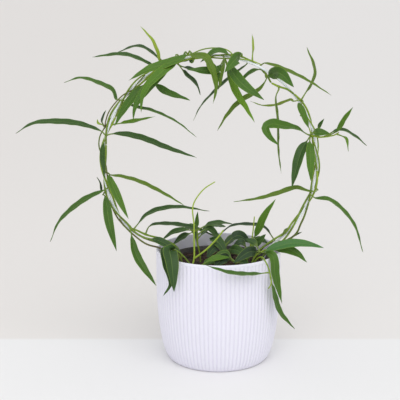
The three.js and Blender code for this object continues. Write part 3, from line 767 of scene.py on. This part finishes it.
def leaf_section(share, half, petiole, length, fold, wave):
    """How far a section's points lie to the side and above the leaf's middle line, and how far the leaf
    is a flat blade there, 1, and not a round petiole, 0."""
    blade = smoothstep(petiole * 0.9, petiole + BLADE_START / length, share)
    stalk = PETIOLE_RADIUS * mix(*PETIOLE_ENDS, smoothstep(0, petiole, share))
    thick = LEAF_HALF_THICKNESS * mix(1, LEAF_END_SHARE, share) * smoothstep(1.03, 0.9, share)
    offsets = []
    for u, face in SECTION:
        rise = fold * half * abs(u) ** LEAF_CURL
        ripple = math.sin(length * share * EDGE_WAVE_RATE + wave[1 if u > 0 else 2])
        rise += EDGE_WAVE * ripple * u * u * blade
        edge = math.sqrt(max(1 - u ** 4, 0))
        if face > 0:
            furrow = FURROW_DEPTH * math.exp(-((u / FURROW_WIDTH) ** 2)) * (half > FURROW_FROM)
            lift = rise + thick * edge - furrow
        else:
            ridge = RIDGE_HEIGHT * math.exp(-((u / RIDGE_WIDTH) ** 2)) * smoothstep(1, 0.6, share)
            lift = rise - thick * edge - ridge
        across = mix(stalk * u, half * u, blade)
        above = mix(face * stalk * math.sqrt(1 - u * u), lift, blade)
        offsets.append((across, above))
    return offsets, blade


def add_leaf(shape, places, row, draw):
    """A leaf from its row: its width, the turn of its blade to the front (one for all of it, or one for
    each end), its tone, where it springs from, and its way. Returns the place of its joint."""
    width, turned, (tone, warmth), base, *way = row
    first, last = turned if isinstance(turned, tuple) else (turned, turned)
    rest = [Vector(point) for point in way]
    place = spring_place(places, Vector(base), rest[0])
    curve = Curve([place.point, *way_round_wire(place, rest[0]), *rest])
    hand = 1 if curve.tangent(0.6).cross(FRONT).z >= 0 else -1
    wave = [draw.uniform(0, math.tau) for _ in range(3)]
    roll = draw.uniform(*LEAF_ROLL)
    fold = draw.uniform(*LEAF_FOLD)
    length = curve.length
    petiole = min(PETIOLE_LENGTH / length, PETIOLE_SHARE)
    tone += draw.uniform(-TONE_SPREAD, TONE_SPREAD)
    rings = []
    for i in range(LEAF_STATIONS + 1):
        share = (i / LEAF_STATIONS) ** STATION_POWER
        point = curve.at(share)
        along = curve.tangent(share)
        facing = (FRONT - along * FRONT.dot(along)).normalized()
        rising = along.cross(facing) * hand
        tilt = mix(first, last, share)
        turn = math.radians(tilt + roll * math.sin(4 * share + wave[0]) * smoothstep(0.1, 0.4, share))
        up = rising * math.cos(turn) + facing * math.sin(turn)
        side = up.cross(along)
        half = max(leaf_half_width(share, width, length), LEAF_TIP)
        section, blade = leaf_section(share, half, petiole, length, fold, wave)
        points = [point + side * across + up * above for across, above in section]
        values = {
            "tone": tone,
            "warmth": warmth,
            "across": [u for u, _ in SECTION],
            "share": share,
            "reach": length * share,
            "upper": [mix(0.5, 1.0 if face > 0 else 0.0, blade) for _, face in SECTION],
        }
        rings.append((points, values))
    shape.loft(rings)
    return place.point


def add_stem(shape, places, tapers, ages, joints, widest=STEM_RADIUS):
    """The stem's bar, from the age at its root to the age at its end, a little thicker at each leaf."""
    curve = Curve([place.point for place in places])
    count = math.ceil(curve.length / STEM_RING_STEP)
    shares = [k / count for k in range(count + 1)]
    points = [curve.at(share) for share in shares]
    radii = []
    for share, point in zip(shares, points):
        radius = widest * (1 - STEM_TAPER * share * tapers)
        near = min(((point - joint).length for joint in joints), default=math.inf)
        swelling = JOINT_SWELLING * math.exp(-((near / JOINT_LENGTH) ** 2))
        radius *= 1 + swelling + STEM_ROUGHNESS * noise.noise(point * 0.4)
        radii.append(radius)
    radii[0] *= STEM_ROOT_SHARE
    radii[-1] *= STEM_END_SHARE
    shape.loft(tube_rings(points, radii, STEM_SIDES, age=[mix(*ages, share) for share in shares]))


def strand(places, start, end, way, ages):
    """A side strand, which leaves a stem at one of its places and joins it again at another."""
    rows = [places[start].point, *way, places[end].point]
    return smooth(rows, STRAND_STEP), [], 0, ages, STRAND_RADIUS


def make_plant(name, *stems):
    """One leafy node: each stem has places, leaf rows, 1 if it tapers, its ages and perhaps its radius."""
    draw = random.Random(name)
    bars = Shape("age")
    blades = Shape("tone", "warmth", "across", "share", "reach", "upper")
    for places, leaves, tapers, ages, *radius in stems:
        joints = [add_leaf(blades, places, row, draw) for row in leaves]
        add_stem(bars, places, tapers, ages, joints, *radius)
    slot = "young_shoot" if name == "shoot_tall" else "foliage"
    place_piece(bars.build(name + "_stem", STEM_PAINT), slot, name)
    if blades.vertices:
        place_piece(blades.build(name + "_leaves", LEAF_PAINT), slot, name)


# How young a leaf is, from 0 to 1, and whether it leans to blue, -1, or to yellow, 1.
OLD = (0.05, -0.2)
DARK = (0.25, -0.1)
MID = (0.42, 0.0)
# A painted sheen: the blue lean of this tone paints the blue-white sheen of a leaf that catches the light.
BLUE_SHEEN = (0.45, -0.5)
OLIVE = (0.45, 0.45)
GOLDEN = (0.65, 0.8)
FRESH = (0.52, 0.15)
BRIGHT = (0.72, 0.3)
YOUNG = (1.0, 0.3)

# How old a stem is at its two ends.
WOODY = (0.8, 0.5)
GROWN = (0.6, 0.25)
GREEN = (0.4, 0.1)
SHOOT = (0.1, 0.0)

# The windings on the hoop, in degrees: the phase of each, half the cut between two lengths of a stem,
# and the angle at which the slack stem comes up to the wire.
LEFT_FRONT = 207
LEFT_BACK = 27
BARE = 117
RIGHT_FRONT = 117
RIGHT_FORE = 39
SLACK = 258
CUT = 0.17
SLACK_JOIN = -22

# The slack of the right windings, which hang below the wire at a joint with several leaves.
NODE_SLACK = [(52, 5, 6)]

make_plant("vine_left_low", (climbing(
    rooted(-40, -16, (-46, -14, 124), (-62, -9, 133), (-80, -6, 138.5), (-93, -5, 146)),
    twine(LEFT_FRONT, HOOP_LEFT_END, 170 + CUT),
), [
    (9, 45, DARK, (-81, -6, 142), (-67, -15, 139), (-53, -18, 133), (-41, -22, 127.5)),
    (10, 50, MID, (-101, 0, 149), (-91, -20, 124), (-68, -42, 95)),
    (9, 20, DARK, (-95, -3, 150), (-77, -8, 168), (-48, -12, 176), (-10, -14, 172)),
    (10, 75, MID, (-127, -2, 195), (-120, -20, 161), (-112, -26, 130)),
    (9, 75, FRESH, (-121, 0, 209), (-110, -18, 189), (-98, -32, 168)),
    (9, 18, OLIVE, (-122, 0, 213), (-107, -6, 209), (-86, -12, 204), (-59, -18, 192), (-37, -22, 180)),
], 0, GROWN))

make_plant("vine_left_low_back", (climbing(
    rooted(-42, 14, (-47, 12, 124), (-62, 8, 134), (-80, 5, 140), (-93, 5, 146)),
    twine(LEFT_BACK, HOOP_LEFT_END, 154 + CUT),
), [
    (9, 18, DARK, (-82, 5, 139), (-77, 10, 149), (-57, 18, 149), (-26, 30, 141), (-1, 36, 129)),
    (10, 25, MID, (-128, 0, 193), (-148, -8, 183), (-175, -12, 160), (-186, -14, 137)),
    (8, 18, BRIGHT, (-115, 0, 265), (-94, 14, 267), (-70, 24, 271)),
], 0, GREEN))

bare_way = climbing(
    rooted(-46, -24, (-52, -20, 123), (-64, -11, 128.8), (-80, -8, 133), (-95, -4, 143)),
    twine(BARE, HOOP_LEFT_END, 126, [(172, 5, 9)]),
)
make_plant("vine_left_bare", (bare_way, [
    (6, 30, OLD, (-129, 0, 259), (-127, -4, 270), (-122, -8, 283)),
    (4, 30, YOUNG, (-130, 0, 263), (-132, 3, 267), (-133, 5, 271)),
    (4, 30, OLD, (-128, 0, 197), (-131, -2, 202), (-134, -3, 208)),
], 1, WOODY), strand(
    bare_way, -8, -3, [(-123, -4, 270), (-119, -7, 281), (-110, -8, 293), (-101, -8, 301)], WOODY,
))

make_plant("vine_left_high", (twine(LEFT_FRONT, 170 - CUT, 116 + CUT), [
    (8, 45, DARK, (-128, -4, 257), (-127, -14, 238), (-124, -22, 210)),
    (9, 30, DARK, (-133, 0, 254), (-151, -4, 267), (-176, -12, 271), (-200, -18, 270), (-218, -22, 260)),
    (10, 38, DARK, (-118, 0, 257), (-106, -8, 257), (-83, -14, 253), (-58, -18, 244), (-24, -20, 233)),
    (8, 16, MID, (-105, 0, 288), (-92, -8, 287), (-72, -20, 284), (-45, -34, 274), (-24, -42, 259)),
    (11, 38, MID, (-79, 0, 315), (-58, -9, 303), (-31, -18, 295)),
    (11, 60, MID, (-72, 0, 320), (-90, -10, 300), (-103, -11, 283), (-113, -10, 266)),
], 0, GREEN))

make_plant("vine_left_high_back", (twine(LEFT_BACK, 154 - CUT, 98), [
    (9, 25, MID, (-107, 0, 295), (-116, 8, 302), (-130, 18, 308), (-153, 30, 313), (-172, 38, 307)),
    (10, 40, MID, (-16, 6, 338), (-42, 14, 335), (-66, 17, 320)),
    (8, 12, DARK, (-55, 0, 338), (-86, 18, 349), (-118, 34, 338)),
    (9, 22, DARK, (-66, 0, 335), (-100, -14, 343), (-134, -26, 342)),
    (7, 28, YOUNG, (-61, 0, 335), (-71, -4, 356), (-84, -8, 373)),
    (9, 20, DARK, (-48, 0, 330), (-36, 8, 320), (-25, 12, 309), (-20, 16, 296)),
    (8, 22, DARK, (-36, 0, 325), (-25, 14, 324), (-13, 26, 325)),
], 1, GREEN))

top_way = twine(LEFT_FRONT, 116 - CUT, 63)
make_plant("vine_top", (top_way, [
    (12, 55, FRESH, (-42, 0, 336), (-61, -24, 326), (-75, -36, 313), (-81, -42, 300), (-82, -45, 286)),
    (12, 38, FRESH, (-29, 0, 342), (-55, -14, 334), (-76, -20, 328), (-96, -24, 317)),
    (11, 45, MID, (3, 0, 338), (-4, -16, 327), (-34, -20, 328)),
    (12, 60, MID, (-51, 0, 331), (-73, -17, 312), (-88, -24, 292), (-92, -26, 275)),
    (11, 60, MID, (-19, 0, 339), (-9, -14, 331), (-2, -18, 321), (3, -20, 311)),
    (10, 40, OLIVE, (-29, 0, 343), (-15, -22, 341), (-8, -30, 329), (-4, -36, 311), (-7, -40, 294)),
    (13, 65, MID, (3, 0, 332), (22, -30, 316), (47, -36, 298)),
    (10, 55, BRIGHT, (1, 0, 330), (18, -14, 303), (28, -20, 288), (38, -24, 272)),
    (10, 35, MID, (12, 0, 336), (-1, -8, 347), (-20, -12, 335)),
    (7, 25, YOUNG, (35, 0, 333), (36, -3, 345), (35, -6, 364)),
], 1, GREEN), strand(top_way, 3, 8, [(-18, 4, 347), (-4, 0, 349), (8, -4, 347.5), (14, -6, 343)], GREEN))

make_plant("vine_right_low", (climbing(
    rooted(38, -8, (42, -8, 122), (52, -7, 131), (64, -5, 139)),
    twine(RIGHT_FRONT, HOOP_RIGHT_END, -4 - CUT),
), [
    (8, 22, OLIVE, (101, 0, 196), (85, -8, 197), (66, -12, 192), (45, -16, 187), (16, -20, 184)),
    (5, 25, DARK, (69, -3, 142), (73, -7, 147), (77, -8, 152)),
], 0, GREEN))

make_plant("vine_right_high", (twine(RIGHT_FRONT, -4 + CUT, 40 - CUT), [
    (9, 32, OLIVE, (92, 0, 293), (103, 3, 322), (94, 0, 350)),
    (6, 12, GOLDEN, (85, 0, 288), (62, 14, 285), (48, 20, 284), (35, 26, 288)),
    (9, 60, FRESH, (86, 0, 292), (86, -10, 290), (90, -13, 280), (97, -14, 264)),
], 0, GREEN))

make_plant("vine_right_shoulder", (twine(RIGHT_FRONT, 40 + CUT, 53 - CUT, NODE_SLACK), [
    (8, 25, OLIVE, (66, 0, 309), (61, -8, 297), (63, -12, 271), (64, -14, 240), (68, -14, 214)),
], 0, GREEN))

make_plant("vine_top_right", (twine(RIGHT_FRONT, 53 + CUT, 104, NODE_SLACK), [
    (9, 25, OLIVE, (53, 0, 319), (44, -4, 305), (22, -6, 291), (8, -14, 277), (-2, -20, 262)),
    (9, 28, MID, (57, 0, 324), (45, 8, 325), (34, 9, 321), (23, 8, 311)),
    (14, 85, MID, (52, 0, 324), (64, -28, 325), (77, -48, 313)),
    (8, 30, OLIVE, (8, 0, 344), (4, -26, 328), (-1, -29, 307)),
    (13, 88, MID, (26, 0, 345), (17, -26, 340), (5, -44, 328)),
    (8, 15, DARK, (33, 0, 329), (14, 12, 317), (-8, 18, 296), (-20, 22, 282), (-28, 24, 266)),
    (9, 22, OLIVE, (42, 0, 331), (60, -3, 330), (91, -12, 317), (120, -14, 300)),
], 1, GREEN))

make_plant("vine_right_hub_low", (climbing(
    rooted(46, -14, (51, -12, 122), (61, -11, 130), (70, -8, 135.5)),
    twine(RIGHT_FORE, HOOP_RIGHT_END, -8 - CUT),
), [], 0, GROWN))

make_plant("vine_right_hub", (twine(RIGHT_FORE, -8 + CUT, 20), [
    (12, 60, DARK, (96, 0, 254), (89, -16, 239), (79, -22, 200)),
    (9, 55, MID, (102, 0, 256), (108, -9, 259), (120, -12, 258)),
    (11, 70, FRESH, (101, 0, 254), (98, -20, 239), (99, -28, 209)),
    (13, (-5, 95), MID, (96, 0, 257), (85, -10, 263), (70, -16, 267), (56, -22, 270), (50, -26, 267),
     (53, -29, 259), (64, -30, 248)),
], 1, GREEN), (smooth([
    (100.2, -1.2, 254.2), (103, -6, 254.5), (109, -5, 253), (116, 0, 252.5), (122, 1, 253), (127, 0, 254.5),
    (131, -3, 258),
], SHOOT_STEP), [
    (5, 45, DARK, (108, -5, 253), (109, -4, 263), (114, -8, 274)),
    (8, 22, DARK, (113, 4, 254), (132, -4, 261), (147, -9, 255), (160, -14, 245)),
    (7, 40, FRESH, (119, 1, 252.5), (129, -4, 260), (136, -11, 274), (143, -20, 288)),
    (6, 25, BRIGHT, (129, -2, 257), (139, 3, 250), (143, 6, 235)),
], 1, SHOOT))

make_plant("vine_right_slack_low", (climbing(
    rooted(
        44, 12, (49, 10, 122), (57, 9, 129), (66, 8.5, 131), (74, 8, 132), (81, 6.5, 135.5),
        (88, 4, 143), (91.5, 1, 153), (95, -1, 162),
    ),
    twine(SLACK, SLACK_JOIN - TWINE_STEP, SLACK_JOIN - CUT),
), [
    (8, 15, OLD, (63, 6, 137), (52, 20, 145), (37, 28, 146), (16, 34, 143), (1, 40, 130)),
    (4, 20, OLD, (78, 7, 134), (86, 9, 138), (94, 7, 143)),
], 0, WOODY))

make_plant("vine_right_slack", (twine(SLACK, SLACK_JOIN + CUT, 34), [
    (9, 28, MID, (105, 0, 190), (122, -6, 183), (148, -10, 158), (160, -14, 125)),
    (7, 20, DARK, (95, 0, 284), (99, 10, 272), (103, 14, 261)),
], 1, GREEN))

# The stems and shoots that stand in the pot or hang over its rim.
make_plant("stem_over_left_rim", (smooth(rooted(
    -30, -30, (-36, -29, 122), (-46, -28, 131), (-57, -27, 135),
)), [
    (9, 60, DARK, (-57, -27, 135), (-60, -46, 136), (-57, -58, 124), (-52, -66, 106), (-60, -68, 92)),
    (16, 75, DARK, (-48, -28, 132), (-53, -50, 138), (-51, -62, 130), (-49, -69, 112), (-48, -72, 98)),
], 1, GROWN))

make_plant("stem_back", (smooth(rooted(-20, 8, (-23, 6, 130), (-24, 5, 150))), [
    (8, 25, DARK, (-24, 5, 146), (-14, 8, 150), (-1, 14, 152), (16, 24, 148)),
    (5, 70, MID, (-24, 5, 140), (-24, 3, 152), (-23, 1, 168)),
    (9, 45, DARK, (-23, 6, 138), (-12, 9, 146), (-5, 12, 141.5), (1, 14, 131)),
    (9, 35, DARK, (-24, 5, 146), (-41, 7, 145), (-52, 10, 141), (-63, 14, 132)),
    (9, 35, DARK, (-24, 5, 144), (-39, 10, 137), (-52, 14, 126)),
    (10, 30, DARK, (-22, 7, 125), (-30, 35, 140), (-42, 62, 130)),
    (10, 30, DARK, (-23, 6, 135), (-6, 42, 142), (10, 72, 132)),
], 1, GREEN))

make_plant("stem_middle", (smooth(rooted(4, 6, (7, 9, 126))), [
    (12, 45, OLD, (7, 9, 124), (22, 13, 137), (38, 16, 127)),
    (13, 60, DARK, (5, 7, 124), (-4, 2, 137), (4, -8, 129), (9, -14, 119)),
    (11, 50, DARK, (5, 7, 120), (20, -8, 126), (34, -22, 119)),
    (12, 60, OLD, (5, 7, 119), (-4, -8, 129), (-13, -24, 122)),
    (10, 30, DARK, (6, 8, 122), (15, 34, 127), (27, 57, 128)),
], 1, GROWN))

make_plant("stem_low_right", (smooth(rooted(18, -30, (19, -31, 118))), [
    (12, 60, OLD, (19, -31, 117), (6, -40, 126), (-6, -50, 118)),
    (11, 45, DARK, (19, -31, 118), (26, -44, 122), (30, -54, 117)),
    (12, 55, MID, (19, -31, 116), (8, -22, 124), (-8, -26, 119)),
], 1, GROWN))

make_plant("shoot_tall", (smooth(rooted(
    -30, -38, (-27, -35, 124), (-27, -30, 147), (-27, -28, 160), (-28, -24, 181), (-17, -22, 198),
    (-4, -22, 207),
)), [], 1, SHOOT), (smooth([(-27, -35, 124), (-13, -32, 134), (1, -30, 149), (5, -30, 155)]), [], 0.6, SHOOT))

make_plant("sprout_front", (smooth(rooted(-24, -47, (-22, -47, 118))), [
    (8, 30, FRESH, (-22, -47, 117), (-6, -46, 127), (12, -40, 127)),
    (8, 45, MID, (-23, -47, 115), (-10, -36, 121), (6, -30, 118)),
], 1, SHOOT))

make_plant("stem_right", (smooth(rooted(36, -20, (42, -21, 124), (50, -22, 130))), [
    # This leaf's blue lean is a painted sheen.
    (11, 50, BLUE_SHEEN, (41, -21, 122), (60, -22, 132.5), (80, -20, 137), (97, -18, 136), (116, -20, 132)),
    (11, 50, MID, (49, -22, 130), (74, -13, 129), (88, -14, 123), (98, -16, 114)),
    (11, 60, MID, (47, -22, 128), (58, -41, 129), (61, -44, 108), (69, -42, 75)),
    (12, 70, OLD, (45, -21, 127), (32, -44, 134), (15, -58, 126)),
    (9, 50, DARK, (46, -21, 128), (40, -18, 136), (30, -14, 141)),
], 1, GREEN))

make_plant("stem_right_upright", (smooth(rooted(32, 2, (36, -2, 130), (38, -3, 142), (40, -1, 163))), [
    (9, 55, FRESH, (36, -2, 130), (45, -10, 152), (50, -14, 166), (62, -20, 187)),
    (9, 45, OLD, (35, -1, 124), (26, -2, 133), (16, 0, 128)),
    (9, 40, DARK, (36, -1, 126), (46, 6, 134), (56, 4, 130)),
    (9, 50, DARK, (36, -2, 128), (46, -12, 138), (52, -14, 146)),
], 1, SHOOT))

make_plant("stem_over_front_rim", (smooth(rooted(
    36, -36, (40, -41, 124), (46, -48, 129.5), (52, -57, 122), (55, -56, 111), (56, -54, 101),
    (53, -55, 96),
)), [
    (9, 35, MID, (56, -54, 111), (61, -46, 82), (67, -42, 65), (84, -38, 44)),
    (9, 14, MID, (55, -55, 113), (31, -71, 117), (10, -81, 122), (-14, -84, 131)),
], 1, GREEN))

make_cover_pot()
make_nursery_pot()
make_soil()
make_hoop()


# The stage, in metres: a wide pale floor that fills the view, nearly white in front and warmer and darker
# behind, where it stands for the wall: the wall's own warmer colour with painted shade, as the wall is lit
# less than the table.
FLOOR_HALF = 15
FLOOR_EDGE = (0.044, 0.054)
SKY_COLOUR = (0.97, 0.985, 1.0, 1)
SKY_STRENGTH = 0.83
AIM = Vector((0, 0, 0.2))
CAMERA_LENS = 99
CAMERA_SENSOR = 36
CAMERA_PLACE = (-0.0205, -1.1865, 0.4612)
CAMERA_DIP = 13.27  # degrees below level


def make_floor():
    paint = Paint("floor")
    position = paint.node("ShaderNodeSeparateXYZ", {"Vector": paint.place}).outputs
    # Painted shade in part: behind the edge the floor is darker than in front, and a little darker to the
    # left.
    behind = paint.between(position["Y"], *FLOOR_EDGE)
    rightward = paint.between(position["X"], -0.5, 0.5)
    wall = paint.blend(rightward, linear(227, 223, 220), linear(230, 227, 225))
    front = linear(234, 233, 233)
    paint.set(Base_Color=paint.blend(behind, front, wall), Roughness=0.9, Specular_IOR_Level=0.1)
    mesh = bpy.data.meshes.new("floor")
    corners = [(x * FLOOR_HALF, y * FLOOR_HALF, 0) for x, y in ((-1, -1), (1, -1), (1, 1), (-1, 1))]
    mesh.from_pydata(corners, [], [(0, 1, 2, 3)])
    mesh.materials.append(paint.material)
    floor = bpy.data.objects.new("floor", mesh)
    bpy.context.scene.collection.objects.link(floor)


def add_light(name, kind, place, power, colour, **settings):
    light = bpy.data.lights.new(name, kind)
    light.energy = power
    light.color = colour
    for key, value in settings.items():
        setattr(light, key, value)
    lamp = bpy.data.objects.new(name, light)
    lamp.location = place
    towards = AIM - lamp.location
    lamp.rotation_euler = towards.to_track_quat("-Z", "Y").to_euler()
    bpy.context.scene.collection.objects.link(lamp)


def make_camera():
    data = bpy.data.cameras.new("camera")
    data.sensor_width = CAMERA_SENSOR
    data.lens = CAMERA_LENS
    camera = bpy.data.objects.new("camera", data)
    camera.location = CAMERA_PLACE
    camera.rotation_euler = (math.radians(90 - CAMERA_DIP), 0, 0)
    bpy.context.scene.collection.objects.link(camera)
    bpy.context.scene.camera = camera


def make_world():
    world = bpy.data.worlds.new("studio")
    world.use_nodes = True
    background = world.node_tree.nodes["Background"]
    background.inputs["Color"].default_value = SKY_COLOUR
    background.inputs["Strength"].default_value = SKY_STRENGTH
    bpy.context.scene.world = world


make_floor()
make_world()
add_light("key", "SUN", (0.3, -1.0, 1.4), 0.75, (1.0, 0.985, 0.965), angle=math.radians(50))
add_light("soft_side", "AREA", (-0.25, -1.3, 1.0), 4, (1.0, 1.0, 1.0), shape="DISK", size=1.0)
make_camera()
bpy.context.scene.view_settings.view_transform = "Standard"
